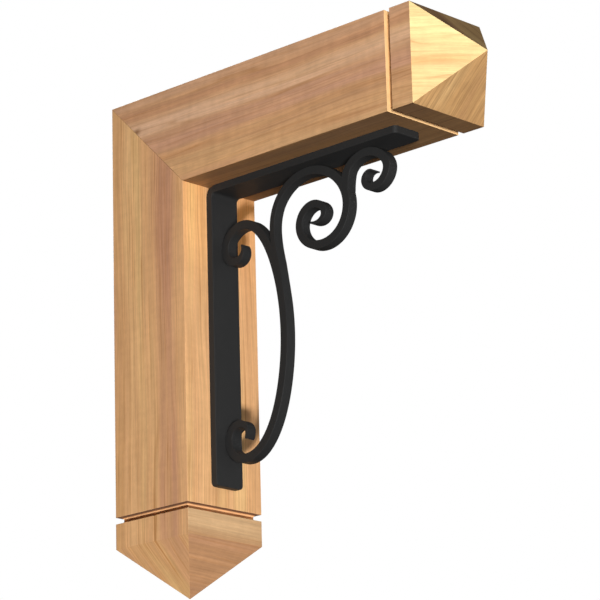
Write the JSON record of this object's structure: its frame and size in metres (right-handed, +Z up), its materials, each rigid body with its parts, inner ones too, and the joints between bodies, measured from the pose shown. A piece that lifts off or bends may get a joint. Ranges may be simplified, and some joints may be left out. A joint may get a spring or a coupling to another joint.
{
  "type": "wooden corbel bracket",
  "caption": "Right-angled eaves bracket of mitred square cedar timbers with saw-kerfed pyramid ends, braced by a forged iron angle strap and scrolls.",
  "frame": {"origin": "on the post's back face, on its centre line, halfway between the top of the bracket and the post's saw kerf", "axes": "+X across the bracket, +Y into the wall, so the arm reaches out along -Y, and +Z up"},
  "size_m": [0.14, 0.632, 0.702],
  "materials": {
    "cedar": "smooth planed red cedar, bare, satin",
    "satin_black_iron": "satin black coating on forged flat bar"
  },
  "bodies": {
    "root": {"timber_post": "cedar", "timber_arm": "cedar", "iron_angle_strap": "satin_black_iron", "iron_c_scroll": "satin_black_iron", "iron_large_scroll": "satin_black_iron", "iron_small_scroll": "satin_black_iron"}
  },
  "joints": []
}
